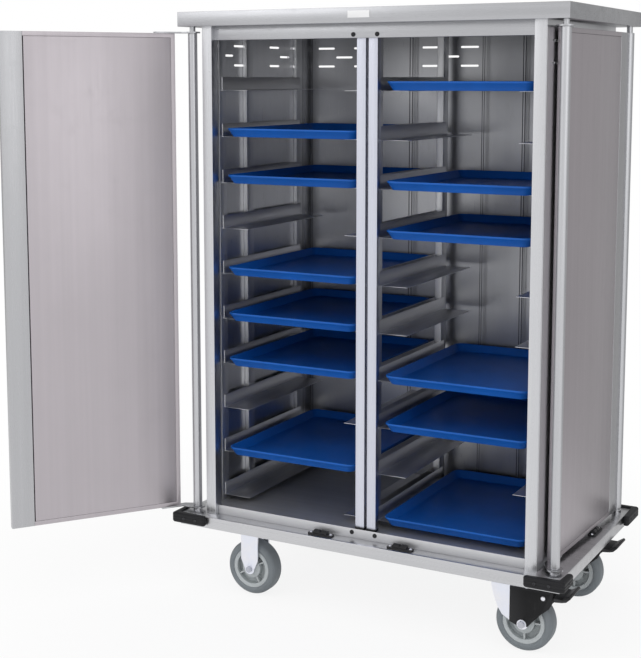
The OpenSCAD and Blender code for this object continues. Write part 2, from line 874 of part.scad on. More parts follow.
module caster_bolts() color(zinc) placed()
    at_casters() at_caster_bolts() {
        nut_height = 6;
        thread_end = 2;
        shank_start = plate_bottom - bolt_head_height;
        nut_bottom = caster_height + chassis_sheet;
        translate([0, 0, shank_start]) cylinder(r = bolt_head, h = bolt_head_height);
        translate([0, 0, shank_start])
            cylinder(r = bolt_radius, h = nut_bottom + nut_height + thread_end - shank_start);
        translate([0, 0, nut_bottom]) cylinder(r = bolt_head, h = nut_height);
    }

module at_rigid(y) {
    translate([-rigid_x, y, wheel_radius]) children();
}

module at_swivel(y) {
    translate([swivel_x, y, 0]) children();
}

module at_swivel_axle(y) {
    at_swivel(y) translate([trail, 0, wheel_radius]) children();
}

module yoke() {
    back = 46;
    front = 60;
    // The leg's curved rear edge, from the swivel axis and over the axle, bottom to top
    leg_edge = [[4, 4], [-16, 15], [-27, 31], [-34, 48], [-40, 64], [-44.5, 82]];
    difference() {
        union() {
            box([-back, -fork_outer, crown_bottom], [front, fork_outer, crown_top]);
            plate_pair(fork_inner, fork_outer) {
                polygon(concat(
                    [[-back, crown_top], [front, crown_top], [trail + axle_boss, wheel_radius],
                     [trail - axle_boss, wheel_radius]],
                    [for (p = leg_edge) [p[0], wheel_radius + p[1]]]
                ));
                translate([trail, wheel_radius]) circle(axle_boss);
            }
        }
        translate([0, 0, crown_bottom - cut])
            cylinder(r = kingpin_diameter / 2 + running, h = crown_height + 2 * cut);
        axle_eye(trail);
    }
}

// Side plates outside the fork, joined by the pedal's pivot pin
module brake() {
    tail = pivot_x + 25;
    chin = pivot_z - 45;       // the plate's lower edge climbs from here to the tail
    edge = 5;                  // its rear edge, from the swivel axis
    rivet_radius = pivot_radius + 1.5;
    rivet_height = 2;
    difference() {
        plate_pair(fork_outer, brake_outer)
            polygon([[edge, crown_top], [edge, wheel_radius + 3], [trail - axle_boss, wheel_radius - 4],
                     [trail + axle_boss, wheel_radius - 4], [pivot_x - 7, chin], [pivot_x + 16, chin + 20],
                     [tail, chin + 37], [tail, crown_top]]);
        axle_eye(trail);
        rod_y(pivot_x, pivot_z, pivot_radius + running, -brake_outer - cut, brake_outer + cut);
    }
    rod_y(pivot_x, pivot_z, pivot_radius, -brake_outer - rivet_height, brake_outer + rivet_height);
    both_ends() rod_y(pivot_x, pivot_z, rivet_radius, brake_outer, brake_outer + rivet_height);
}

// The foot bar and its two arms, inside the brake's side plates
module pedal() {
    arm_out = fork_outer - fit_gap;
    arm_in = arm_out - 4;
    eye = 9;
    arm_end = 40;
    bar_start = 28;
    bar = 7;                   // thickness of the foot bar
    lip = 4;                   // half the thickness of its lip, which slopes up and out
    lip_tip = 14;              // height of the lip's rounded tip
    lip_foot = 22;             // from the bar's outer edge in to the lip's foot
    translate([pivot_x, 0, pivot_z]) {
        side_plate(-pedal_width / 2, pedal_width / 2)
            polygon(concat(
                [[bar_start, bar], [bar_start, 0], [bar_start + 4, -3]],
                [[pedal_reach - lip_foot, -1], [pedal_reach - lip_foot / 2, 2]],
                arc(pedal_reach - lip, lip_tip, lip, -45, 135, 8),
                [[pedal_reach - lip_foot, bar]]
            ));
        difference() {
            plate_pair(arm_in, arm_out) {
                circle(eye);
                polygon([[0, eye], [arm_end, bar - 1], [arm_end, -2], [0, -eye]]);
            }
            rod_y(0, 0, pivot_radius + running, -arm_out - cut, arm_out + cut);
        }
    }
}

module rigid_hub(y) color(hub_grey) placed() at_rigid(y) wheel_hub();
module rigid_tyre(y) color(tyre_grey) placed() at_rigid(y) wheel_tyre();
module swivel_yoke(y) color(zinc) placed() at_swivel(y) yoke();
module swivel_axle(y) color(zinc) placed() at_swivel_axle(y) axle_bolt(brake_outer);
module swivel_brake(y) color(black) placed() at_swivel(y) brake();
module swivel_pedal(y) color(black) placed() at_swivel(y) pedal();
module swivel_hub(y) color(hub_grey) placed() at_swivel_axle(y) wheel_hub();
module swivel_tyre(y) color(tyre_grey) placed() at_swivel_axle(y) wheel_tyre();

// ---- Door catches ----

module door_catches() color(black) placed() at_catches() {
    block_length = 40;
    ledge = 3;
    difference() {
        union() {
            box([-catch_length / 2, -catch_width / 2, 0], [catch_length / 2, catch_width / 2, catch_base]);
            box([-block_length / 2, -catch_width / 2 + ledge, 0],
                [block_length / 2, catch_width / 2 - ledge, catch_height]);
        }
        for (s = [-1, 1]) translate([s * catch_screw, 0, -cut]) screw_bore(catch_base + 2 * cut);
    }
}

chassis_pan();
caster_rails();
corner_bumpers();
trim_screws();
side_wall_left();
side_wall_right();
back_wall();
cabinet_floor();
front_posts();
header();
mullions();
mullion_feet();
stop_buttons();
roof_cap();
roof_plate();
corner_tubes();
tube_pins();
rack_uprights();
rack_ledges();
door_catches();
left_door_shell();
left_door_panel();
left_door_stile();
left_hinge_arms();
right_door_shell();
right_door_panel();
right_door_stile();
right_hinge_arms();
tray(-1, 2);  // tray_left_2
tray(-1, 3);  // tray_left_3
tray(-1, 5);  // tray_left_5
tray(-1, 6);  // tray_left_6
tray(-1, 7);  // tray_left_7
tray(-1, 9);  // tray_left_9
tray(1, 1);  // tray_right_1
tray(1, 3);  // tray_right_3
tray(1, 4);  // tray_right_4
tray(1, 7);  // tray_right_7
tray(1, 8);  // tray_right_8
tray(1, 10);  // tray_right_10
rigid_forks();
rigid_axles();
rigid_hub(front_caster);  // rigid_front_hub
rigid_tyre(front_caster);  // rigid_front_tyre
rigid_hub(rear_caster);  // rigid_rear_hub
rigid_tyre(rear_caster);  // rigid_rear_tyre
swivel_plates();
caster_bolts();
swivel_yoke(front_caster);  // swivel_front_yoke
swivel_axle(front_caster);  // swivel_front_axle
swivel_brake(front_caster);  // swivel_front_brake
swivel_pedal(front_caster);  // swivel_front_pedal
swivel_hub(front_caster);  // swivel_front_hub
swivel_tyre(front_caster);  // swivel_front_tyre
swivel_yoke(rear_caster);  // swivel_rear_yoke
swivel_axle(rear_caster);  // swivel_rear_axle
swivel_brake(rear_caster);  // swivel_rear_brake
swivel_pedal(rear_caster);  // swivel_rear_pedal
swivel_hub(rear_caster);  // swivel_rear_hub
swivel_tyre(rear_caster);  // swivel_rear_tyre
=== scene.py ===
import math

import bmesh
import bpy
from mathutils import Matrix, Vector


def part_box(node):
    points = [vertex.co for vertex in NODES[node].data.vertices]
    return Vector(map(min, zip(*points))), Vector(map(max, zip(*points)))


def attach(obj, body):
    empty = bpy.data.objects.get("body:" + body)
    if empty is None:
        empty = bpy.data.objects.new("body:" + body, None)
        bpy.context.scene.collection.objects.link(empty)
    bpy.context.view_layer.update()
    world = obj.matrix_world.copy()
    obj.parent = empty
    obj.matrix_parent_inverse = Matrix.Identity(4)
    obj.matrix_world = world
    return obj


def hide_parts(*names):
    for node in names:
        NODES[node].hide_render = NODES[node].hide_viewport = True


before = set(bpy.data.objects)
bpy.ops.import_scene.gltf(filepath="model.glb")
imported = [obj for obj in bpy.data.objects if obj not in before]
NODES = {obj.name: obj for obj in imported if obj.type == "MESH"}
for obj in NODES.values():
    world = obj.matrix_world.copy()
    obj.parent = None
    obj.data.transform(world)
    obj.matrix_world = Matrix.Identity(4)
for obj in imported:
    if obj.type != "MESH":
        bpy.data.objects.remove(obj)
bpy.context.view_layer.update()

# ---- Sizes of the cart, in millimetres about its own datum ----
# X from the cart's lateral centre, Y rearward from the chassis front edge, Z up from the floor
MM = 0.001
DATUM = (146.16461, -147.51995)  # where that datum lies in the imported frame
TO_FRAME = Matrix.Translation((DATUM[0] * MM, DATUM[1] * MM, 0)) @ Matrix.Scale(MM, 4)

CHASSIS_LENGTH, CHASSIS_DEPTH, DECK = 1117, 641, 220
ROOF_HALF, ROOF_FRONT, ROOF_REAR, ROOF_BOTTOM = 551.5, 4, 637, 1583

# Corner bumpers, each with a long leg and a short one
BUMPER_BOTTOM, BUMPER_HEIGHT, BUMPER_DEPTH, BUMPER_CORNER = 195, 29, 18, 8
BUMPER_LONG, BUMPER_SHORT = 90, 58
BUMPER_LOWER_ROUND, BUMPER_UPPER_ROUND = 7.5, 5.5
RIDGE_HEIGHTS, RIDGE_RISE = (11.0, 18.5), 0.7
RIDGE_FOOT, RIDGE_CROWN = 1.2, 0.5  # half widths
BUMPER_SCREWS = (22, 60)  # from the corner; the short leg has the first only
SCREW_RADIUS, SCREW_HEIGHT, SCREW_SEAT = 4.2, 2.2, 0.5  # the seat is how deep a head sits in a bumper
RECESS_ARM, RECESS_REACH = 0.55, 2.2  # half the width and half the length of the cross recess

# Door catches on the deck: middle and turn of each
CATCHES = ((118, 23, 0), (-118, 23, 0), (528, 392, 90), (-528, 392, 90))
CATCH_LENGTH, CATCH_WIDTH, CATCH_BASE, CATCH_HEIGHT, CATCH_CORNER = 73, 22, 4, 12, 5
CATCH_SCREW, CATCH_BLOCK, CATCH_GROOVE = 29.5, 20, 2.2  # each half its spacing or width

# Stop buttons, corner tubes and the back wall's seams, with their shadow painted as dark strips
BUTTON_X, BUTTON_HEIGHTS, FACE_FRONT = 34, (236, 1555), 42
TUBE_X, TUBE_FRONT, TUBE_REAR = 530, 46, 592
TUBE_RADIUS, TUBE_WALL, TUBE_CHAMFER = 12.7, 1.5, 0.4
TUBE_BOTTOM, TUBE_TOP = 233.3, 1565.7
PIN_RADIUS, COLLAR_HEIGHT, COLLAR_CHAMFER = 8, 8.7, 1
PLUG_LENGTH, PLUG_CLEARANCE = 25, 0.05
# the dark strips of painted shade at the back wall's seams
WALL_SEAM_SHADES = ((-457, 2), (-448, 2), (-120, 3), (-111, 3), (109, 2), (115, 2), (232, 3), (239, 3))  # X, width
SEAM_SEAT, SEAM_RISE, SEAM_SLOPE, SEAM_BOTTOM_GAP, SEAM_TOP_GAP = 0.05, 0.6, 1.2, 25, 3

TRAY_FLARE, TRAY_CORNER, TRAY_LIP = 12, 24, 5

# Casters
CASTER_Y = {"front": 72, "rear": 480}
RIGID_X, SWIVEL_X, TRAIL = -355, 412, 38
FORK_OUTER, BRAKE_OUTER = 32.5, 36.5
PIVOT_X, PIVOT_Z = 93, 154.2
WHEEL_RADIUS, RIM_RADIUS, TREAD_HALF, HUB_HALF, AXLE_RADIUS = 76.2, 56, 25, 27, 6
TYRE_SHOULDER, WEB_HALF, SPOKE_RISE = 14, 4, 19
FIRST_SPOKE_RIGID, FIRST_SPOKE_SWIVEL = 30, 2  # degrees
PLATE_BOTTOM, RAIL_FLANGE_TOP, PLATE_BOLT_X, PLATE_BOLT_Y = 182, 190, 52, 41
BOLT_RADIUS, BOLT_HEX, BOLT_TOP = 4, 6.5, 198


# ---- Materials ----
# Noise scales are features to the metre.

ALONG_X, ALONG_Y, ALONG_Z = (0.012, 1, 1), (1, 0.012, 1), (1, 1, 0.012)


def add(tree, kind, inputs=None, **settings):
    """A shader node with its settings, its inputs being numbers, colours or other nodes' sockets."""
    node = tree.nodes.new("ShaderNode" + kind)
    for key, value in settings.items():
        setattr(node, key, value)
    for key, value in (inputs or {}).items():
        socket = node.inputs[key]
        if isinstance(value, bpy.types.NodeSocket):
            tree.links.new(value, socket)
        else:
            socket.default_value = value
    return node


def calculate(tree, operation, a, b):
    """The result of one sum, product or comparison."""
    return add(tree, "Math", {0: a, 1: b}, operation=operation).outputs[0]


def noise(tree, coords, scale, stretch=(1, 1, 1), detail=3.0, rough=0.55):
    """Noise over the object's own coordinates, drawn out along the axis that has a small factor."""
    mapped = add(tree, "Mapping", {"Vector": coords, "Scale": stretch}).outputs["Vector"]
    inputs = {"Vector": mapped, "Scale": scale, "Detail": detail, "Roughness": rough}
    return add(tree, "TexNoise", inputs).outputs["Fac"]


def spread(tree, value, low, high, out_low, out_high, **settings):
    """A value remapped and clamped from one range to another."""
    inputs = {"Value": value, "From Min": low, "From Max": high, "To Min": out_low, "To Max": out_high}
    return add(tree, "MapRange", inputs, **settings).outputs["Result"]


def mix_colours(tree, factor, a, b):
    """A mix of two colours; the numbers are the Mix node's colour sockets."""
    return add(tree, "Mix", {0: factor, 6: a, 7: b}, data_type="RGBA").outputs[2]


def opaque(colour):
    """A colour with its alpha."""
    return colour + (1.0,)


def shade(colour, factor):
    """A colour made darker or lighter, with its alpha."""
    return opaque(tuple(min(1.0, c * factor) for c in colour))


def rubbed(tree, tone, worn_colour, full_at, amount):
    """A colour that turns to a worn one along outer edges."""
    edge = add(tree, "NewGeometry").outputs["Pointiness"]
    return mix_colours(tree, spread(tree, edge, 0.52, full_at, 0, amount), tone, worn_colour)


def new_material(name):
    """A material, its tree and shader, and the coordinates of the object that wears it."""
    material = bpy.data.materials.new(name)
    material.use_nodes = True
    tree = material.node_tree
    coords = add(tree, "TexCoord").outputs["Object"]
    return material, tree, tree.nodes["Principled BSDF"], coords


def link_surface(tree, bsdf, tone, roughness, relief, strength, distance):
    """Gives the shader its colour, roughness and relief."""
    bump = add(tree, "Bump", {"Strength": strength, "Distance": distance, "Height": relief})
    tree.links.new(tone, bsdf.inputs["Base Color"])
    tree.links.new(roughness, bsdf.inputs["Roughness"])
    tree.links.new(bump.outputs["Normal"], bsdf.inputs["Normal"])


def steel(name, colour, grain, rough=(0.24, 0.36), streaks=0.10, marks=0.5, bump=0.04):
    """Brushed sheet: fine grain along one axis, soft streaks, cloudy patches and a few handling marks."""
    material, tree, bsdf, coords = new_material(name)
    fine = noise(tree, coords, 900, grain, detail=2.0, rough=0.6)
    broad = noise(tree, coords, 42, grain)
    cloud = noise(tree, coords, 3.2, detail=4.0, rough=0.6)
    smear = noise(tree, coords, 17, detail=5.0, rough=0.65)
    dark, light = shade(colour, 1 - streaks), shade(colour, 1 + streaks)
    tone = mix_colours(tree, spread(tree, broad, 0.3, 0.7, 0, 1), dark, light)
    tone = mix_colours(tree, spread(tree, cloud, 0.35, 0.7, 0, 0.35), tone, shade(colour, 0.86))
    tone = rubbed(tree, tone, shade(colour, 1.25), 0.6, 0.35)
    brushed = spread(tree, fine, 0.25, 0.75, *rough)
    handled = spread(tree, smear, 0.56, 0.72, 0, 0.12 * marks)
    bsdf.inputs["Metallic"].default_value = 1.0
    link_surface(tree, bsdf, tone, calculate(tree, "ADD", handled, brushed), fine, bump, 0.0006)
    return material


def moulded(name, colour, worn_colour, rough=(0.42, 0.56), grain=1400, wear=0.4, specular=0.5):
    """Moulded plastic or rubber: fine grain, faint scuffs, and rubbed edges in a second colour."""
    material, tree, bsdf, coords = new_material(name)
    fine = noise(tree, coords, grain, detail=2.0)
    cloud = noise(tree, coords, 9, detail=4.0)
    scuff = noise(tree, coords, 60, (1, 1, 0.25), detail=5.0, rough=0.7)
    worn = opaque(worn_colour)
    tone = mix_colours(tree, spread(tree, cloud, 0.35, 0.65, 0, 1), shade(colour, 0.9), shade(colour, 1.08))
    tone = mix_colours(tree, spread(tree, scuff, 0.62, 0.75, 0, 0.35 * wear), tone, worn)
    tone = rubbed(tree, tone, worn, 0.62, wear)
    bsdf.inputs["Specular IOR Level"].default_value = specular
    link_surface(tree, bsdf, tone, spread(tree, fine, 0.3, 0.7, *rough), fine, 0.12, 0.0004)
    return material


def plated(name, colour, tints):
    """Bright zinc plate: a satin metal with drifting tints of its passivation and fine speckle."""
    material, tree, bsdf, coords = new_material(name)
    drift = noise(tree, coords, 14, detail=4.0, rough=0.6)
    speckle = noise(tree, coords, 620, rough=0.7)
    tone = mix_colours(tree, spread(tree, drift, 0.35, 0.65, 0, 1), opaque(tints[0]), opaque(tints[1]))
    tone = mix_colours(tree, spread(tree, speckle, 0.5, 0.75, 0, 0.25), tone, shade(colour, 0.75))
    bsdf.inputs["Metallic"].default_value = 1.0
    link_surface(tree, bsdf, tone, spread(tree, speckle, 0.3, 0.7, 0.32, 0.46), speckle, 0.06, 0.0004)
    return material


FLAT_SHEET = {"rough": (0.27, 0.31), "streaks": 0.03, "marks": 0.3, "bump": 0.006}
MATERIALS = {
    "stainless_z": steel("stainless_upright", (0.51, 0.515, 0.535), ALONG_Z),
    # darker than the posts' stainless; on the header this is painted shade under the roof's overhang
    "stainless_x": steel("stainless_level", (0.44, 0.444, 0.462), ALONG_X),
    "post": steel("stainless_post", (0.56, 0.565, 0.585), ALONG_Z),
    "mullion": steel("stainless_mullion", (0.56, 0.575, 0.65), ALONG_Z),
    # the back wall, darker than the other stainless: painted shade inside the cabinet
    "wall": steel("stainless_wall", (0.34, 0.344, 0.36), ALONG_Z, **FLAT_SHEET),
    "pan": steel("chassis_sheet", (0.55, 0.552, 0.568), ALONG_X),
    # the doors' free edges, darker than the posts' stainless: painted shade for the dimmer reflections on the
    # doors
    "stile": steel("door_stile_sheet", (0.43, 0.432, 0.447), ALONG_Z, streaks=0.06),
    "side": steel("side_wall_sheet", (0.60, 0.604, 0.62), ALONG_Z, **FLAT_SHEET),
    "base": steel(
        "cabinet_base_sheet", (0.585, 0.588, 0.605), ALONG_X, rough=(0.50, 0.62), streaks=0.06, bump=0.02
    ),
    # near black strips on the back wall's seams: painted shade for the shadow in them
    "seam_shade": steel("wall_seam_strip", (0.10, 0.10, 0.105), ALONG_Z, rough=(0.36, 0.46), streaks=0.05),
    # the doors' sheet, darker than the posts' stainless: painted shade for the dimmer reflections on the
    # doors
    "door": steel("door_sheet", (0.45, 0.418, 0.442), ALONG_Z, rough=(0.30, 0.42), streaks=0.05),
    # the rack's uprights and ledges, lighter than the other stainless: painted light against the darker walls
    # behind
    "upright": steel("rack_upright_sheet", (0.62, 0.625, 0.64), ALONG_Z, rough=(0.34, 0.46), streaks=0.08),
    "rack": steel("rack_sheet", (0.70, 0.70, 0.715), ALONG_Y, rough=(0.34, 0.48)),
    "zinc": plated("zinc_plate", (0.84, 0.85, 0.90), ((0.80, 0.82, 0.90), (0.86, 0.85, 0.87))),
    # the axle bolts' zinc, darker than the rest: painted shade for the dark reflections on their hexagon
    # facets
    "bolt": plated("bolt_plate_painted_shade", (0.50, 0.51, 0.55), ((0.46, 0.48, 0.54), (0.54, 0.53, 0.56))),
    "dark_zinc": plated("dark_screws", (0.06, 0.06, 0.065), ((0.05, 0.05, 0.055), (0.08, 0.08, 0.085))),
    "plate": moulded("bare_plate_satin", (0.80, 0.80, 0.81), (0.9, 0.9, 0.9), rough=(0.32, 0.42), wear=0.1),
    "black_steel": moulded(
        "black_paint", (0.01, 0.01, 0.011), (0.09, 0.09, 0.095), rough=(0.34, 0.46), grain=700, specular=0.16
    ),
    "black_plastic": moulded("black_moulding", (0.012, 0.012, 0.014), (0.05, 0.05, 0.055), specular=0.3),
    "rubber": moulded(
        "bumper_black", (0.01, 0.01, 0.012), (0.04, 0.04, 0.042), rough=(0.42, 0.58), grain=900, specular=0.24
    ),
    "tray": moulded(
        "tray_plastic", (0.003, 0.090, 0.40), (0.02, 0.16, 0.50), rough=(0.38, 0.52), wear=0.25, specular=0.3
    ),
    "tyre": moulded(
        "tyre_rubber", (0.165, 0.185, 0.20), (0.26, 0.28, 0.29), rough=(0.5, 0.7), grain=1100, wear=0.5
    ),
    "hub": moulded("hub_moulding", (0.40, 0.43, 0.44), (0.50, 0.52, 0.53), rough=(0.40, 0.52)),
}


# ---- Building pieces ----


def dress(obj, material):
    obj.data.materials.clear()
    obj.data.materials.append(MATERIALS[material])


def piece(name, bm, body, material, nodes=(), smooth=35, to_frame=TO_FRAME):
    """A finished mesh that rides on a body and stands for CAD nodes."""
    bmesh.ops.transform(bm, matrix=to_frame, verts=bm.verts)
    bmesh.ops.recalc_face_normals(bm, faces=bm.faces)
    mesh = bpy.data.meshes.new(name)
    bm.to_mesh(mesh)
    bm.free()
    mesh.polygons.foreach_set("use_smooth", [True] * len(mesh.polygons))
    mesh.set_sharp_from_angle(angle=math.radians(smooth))
    obj = bpy.data.objects.new(name, mesh)
    bpy.context.scene.collection.objects.link(obj)
    dress(obj, material)
    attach(obj, body)
    if nodes:
        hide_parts(*nodes)


def cad_copy(node):
    """The CAD node's mesh in millimetres about the cart's datum, its flat faces whole."""
    bm = bmesh.new()
    bm.from_mesh(NODES[node].data)
    bmesh.ops.transform(bm, matrix=TO_FRAME.inverted(), verts=bm.verts)
    bmesh.ops.remove_doubles(bm, verts=bm.verts, dist=0.01)
    bmesh.ops.dissolve_limit(
        bm, angle_limit=math.radians(0.6), use_dissolve_boundaries=False, verts=bm.verts, edges=bm.edges
    )
    return bm


def round_edges(bm, radius, segments, sharp=30, least=0.0, pick=None):
    """Rounds the edges that are sharper than an angle and as long as asked, where pick accepts them."""
    edges = [
        e
        for e in bm.edges
        if len(e.link_faces) == 2
        and e.calc_length() >= least
        and math.degrees(e.calc_face_angle(0)) > sharp
        and (pick is None or pick(e))
    ]
    bmesh.ops.bevel(
        bm,
        geom=edges,
        offset=radius,
        offset_type="OFFSET",
        segments=segments,
        profile=0.5,
        affect="EDGES",
        clamp_overlap=True,
    )


def softened(node, body, material, radius, segments, least=0.0, pick=None):
    """A CAD node's shape again, with the folded or rounded edges that the real piece has."""
    bm = cad_copy(node)
    round_edges(bm, radius, segments, least=least, pick=pick)
    piece(node + "_skin", bm, body, material, [node])


def on_outline(edge, half_width, front, rear):
    """Whether an edge lies on the outer sides of the pan or the roof."""
    return all(
        abs(abs(v.co.x) - half_width) < 0.1 or abs(v.co.y - front) < 0.1 or abs(v.co.y - rear) < 0.1
        for v in edge.verts
    )


def place(u, v, h, axis, origin=(0, 0, 0)):
    """A point drawn across (u, v) and along (h) an axis."""
    x, y, z = {"z": (u, v, h), "y": (u, h, v), "x": (h, u, v)}[axis]
    return (x + origin[0], y + origin[1], z + origin[2])


def circle(radius, count):
    """Points evenly round the origin."""
    angles = [2 * math.pi * k / count for k in range(count)]
    return [(radius * math.cos(a), radius * math.sin(a)) for a in angles]


def arc(cx, cy, r, start, end, steps):
    """Points along a circle's stretch between two angles in degrees."""
    angles = [math.radians(start + (end - start) * i / steps) for i in range(steps + 1)]
    return [(cx + r * math.cos(a), cy + r * math.sin(a)) for a in angles]


def rounded_rectangle(half_x, half_y, r, steps):
    """The outline of a rectangle about the origin with round corners."""
    outline = []
    for x, y, start in ((1, 1, 0), (-1, 1, 90), (-1, -1, 180), (1, -1, 270)):
        outline += arc(x * (half_x - r), y * (half_y - r), r, start, start + 90, steps)
    return outline


def rings(bm, loops):
    """A skin over loops of points of equal count, closed at both ends."""
    rows = [[bm.verts.new(p) for p in loop] for loop in loops]
    count = len(rows[0])
    for a, b in zip(rows, rows[1:]):
        for i in range(count):
            j = (i + 1) % count
            bm.faces.new((a[i], a[j], b[j], b[i]))
    bm.faces.new(rows[0])
    bm.faces.new(rows[-1])


def prism(bm, outline, low, high, axis="z"):
    """An outline of (u, v) points run along an axis."""
    rings(bm, [[place(u, v, h, axis) for u, v in outline] for h in (low, high)])


def lathe(bm, profile, segments, axis="z", origin=(0, 0, 0), closed=False):
    """Turns (radius, height) points about an axis; a closed profile makes a ring with a hole through it."""
    rows = []
    for r, h in profile:
        points = circle(r, segments) if r else [(0, 0)]
        rows.append([bm.verts.new(place(u, v, h, axis, origin)) for u, v in points])
    if closed:
        rows.append(rows[0])
    for a, b in zip(rows, rows[1:]):
        for k in range(segments):
            n = k + 1
            corners = (a[k % len(a)], a[n % len(a)], b[n % len(b)], b[k % len(b)])
            face = list(dict.fromkeys(corners))
            if len(face) > 2:
                bm.faces.new(face)


def outward(profile, side, start):
    """A (radius, height) profile stood on the face that lies at a start to one side."""
    return [(r, side * (start + h)) for r, h in profile]


def moved(bm, first, matrix):
    """Moves the vertices made since a count."""
    bm.verts.ensure_lookup_table()
    bmesh.ops.transform(bm, matrix=matrix, verts=bm.verts[first:])


def turn(x, y, z, degrees=0):
    """A place, turned about Z."""
    return Matrix.Translation((x, y, z)) @ Matrix.Rotation(math.radians(degrees), 4, "Z")


# ---- Chassis ----


def at_corners():
    """The frames of the four chassis corners, outside toward +X and +Y, the left ones mirrored."""
    for side in (1, -1):
        mirror = Matrix.Scale(side, 4, (1, 0, 0))
        yield mirror @ turn(CHASSIS_LENGTH / 2, CHASSIS_DEPTH, 0)
        yield mirror @ turn(CHASSIS_LENGTH / 2, 0, 0, -90)


def bumper_outline():
    """Points round a bumper from above, each with the direction that faces out there."""
    depth, end, corner = BUMPER_DEPTH, BUMPER_DEPTH / 2, BUMPER_CORNER
    outline = [((0, 0), (0, 0))]
    for cx, cy, r, start, stop, steps in (
        (end - BUMPER_SHORT, end, end, 270, 90, 14),
        (depth - corner, depth - corner, corner, 90, 0, 8),
        (end, end - BUMPER_LONG, end, 0, -180, 14),
    ):
        for i in range(steps + 1):
            a = math.radians(start + (stop - start) * i / steps)
            n = (math.cos(a), math.sin(a))
            outline.append(((cx + r * n[0], cy + r * n[1]), n))
    return outline


def bumper_section():
    """Heights and insets of a bumper's face: rounded below and above, with two ridges between."""

    def rounded(radius, steps=7):
        turns = [math.radians(90 * i / steps) for i in range(steps + 1)]
        return [(radius * (1 - math.cos(t)), radius * (1 - math.sin(t))) for t in turns]

    section = rounded(BUMPER_LOWER_ROUND)
    for middle in RIDGE_HEIGHTS:
        section += [
            (middle - RIDGE_FOOT, 0),
            (middle - RIDGE_CROWN, RIDGE_RISE),
            (middle + RIDGE_CROWN, RIDGE_RISE),
            (middle + RIDGE_FOOT, 0),
        ]
    return section + [(BUMPER_HEIGHT - z, inset) for z, inset in reversed(rounded(BUMPER_UPPER_ROUND))]


def bumpers():
    """Moulded corner guards: a long leg and a short one with round ends."""
    bm = bmesh.new()
    outline = bumper_outline()
    loops = [
        [(x - nx * inset, y - ny * inset, BUMPER_BOTTOM + z) for (x, y), (nx, ny) in outline]
        for z, inset in bumper_section()
    ]
    for corner in at_corners():
        first = len(bm.verts)
        rings(bm, loops)
        moved(bm, first, corner)
    piece("corner_bumpers_moulded", bm, "cart", "rubber", ["corner_bumpers"], 50)


def screw_head(bm, matrix):
    """A pan head with a cross recess."""
    steps = 32
    first = len(bm.verts)
    dome = ((1, 0), (1, 0.7), (0.93, 1.35), (0.78, 1.85), (0.62, 2.1))  # share of the radius, height

    def cross(scale, h):
        points = []
        for c, s in circle(1, steps):
            along, across = max(abs(c), abs(s)), min(abs(c), abs(s))
            waist = max(RECESS_ARM / across, RECESS_ARM * 1.5) if across > 1e-6 else RECESS_REACH
            r = min(RECESS_REACH / along, waist)
            points.append((r * scale * c, r * scale * s, h))
        return points

    loops = [[(u, v, h) for u, v in circle(SCREW_RADIUS * share, steps)] for share, h in dome]
    loops += [cross(scale, SCREW_HEIGHT - depth) for scale, depth in ((1, 0), (0.9, 0.25), (0.45, 1.4))]
    rings(bm, loops)
    moved(bm, first, matrix)


def screws():
    """The heads of the bumpers' dark screws and the catches' bright ones."""
    bumper_heads, catch_heads = bmesh.new(), bmesh.new()
    out_x = Matrix.Rotation(math.radians(90), 4, "Y")
    out_y = Matrix.Rotation(math.radians(-90), 4, "X")
    seat, z = BUMPER_DEPTH - SCREW_SEAT, BUMPER_BOTTOM + BUMPER_HEIGHT / 2
    for corner in at_corners():
        screw_head(bumper_heads, corner @ Matrix.Translation((-BUMPER_SCREWS[0], seat, z)) @ out_y)
        for s in BUMPER_SCREWS:
            screw_head(bumper_heads, corner @ Matrix.Translation((seat, -s, z)) @ out_x)
    for x, y, angle in CATCHES:
        middle = turn(x, y, DECK + CATCH_BASE, angle)
        for side in (-1, 1):
            screw_head(catch_heads, middle @ Matrix.Translation((side * CATCH_SCREW, 0, 0)))
    replaced = ["trim_screws"]
    piece("bumper_screw_heads", bumper_heads, "cart", "dark_zinc", replaced, 40)
    piece("catch_screw_heads", catch_heads, "cart", "zinc", replaced, 40)


def catches():
    """Door catches: a screwed base with round corners and a grooved block, ramped on its front."""
    wide, top, groove = CATCH_WIDTH / 2, CATCH_HEIGHT, CATCH_GROOVE
    base = rounded_rectangle(CATCH_LENGTH / 2, wide, CATCH_CORNER, 5)
    ramp = [
        (3 - wide, 2),
        (3 - wide, CATCH_BASE + 2.5),
        (-2.5, top),
        (wide - 5, top),
        (wide - 3, top - 2),
        (wide - 3, 2),
    ]
    grooved = [(u * (0.93 if v > CATCH_BASE + 1 else 1), min(v, top - 2)) for u, v in ramp]
    bm = bmesh.new()
    for x, y, angle in CATCHES:
        first = len(bm.verts)
        prism(bm, base, 0, CATCH_BASE)
        prism(bm, ramp, -CATCH_BLOCK, -groove, "x")
        prism(bm, ramp, groove, CATCH_BLOCK, "x")
        prism(bm, grooved, -groove, groove, "x")
        moved(bm, first, turn(x, y, DECK, angle))
    bmesh.ops.remove_doubles(bm, verts=bm.verts, dist=1e-4)
    round_edges(bm, 0.8, 2, sharp=40, least=2)
    piece("door_catches_moulded", bm, "cart", "black_plastic", ["door_catches"], 40)


def chassis():
    """The folded pan, the rails under it and what is screwed to it."""

    def outer(edge):
        return on_outline(edge, CHASSIS_LENGTH / 2, 0, CHASSIS_DEPTH)

    softened("chassis_pan", "cart", "pan", 1.0, 3, least=25, pick=outer)
    softened("caster_rails", "cart", "stainless_x", 1.2, 2, least=60)
    bumpers()
    screws()
    catches()


# ---- Cabinet ----


def walls():
    """The CAD's own walls in their sheet materials, the back wall's darker than the rest as painted shade
    inside the cabinet.
    """
    for node, material in (("side_wall_left", "side"), ("side_wall_right", "side"), ("back_wall", "wall")):
        dress(NODES[node], material)


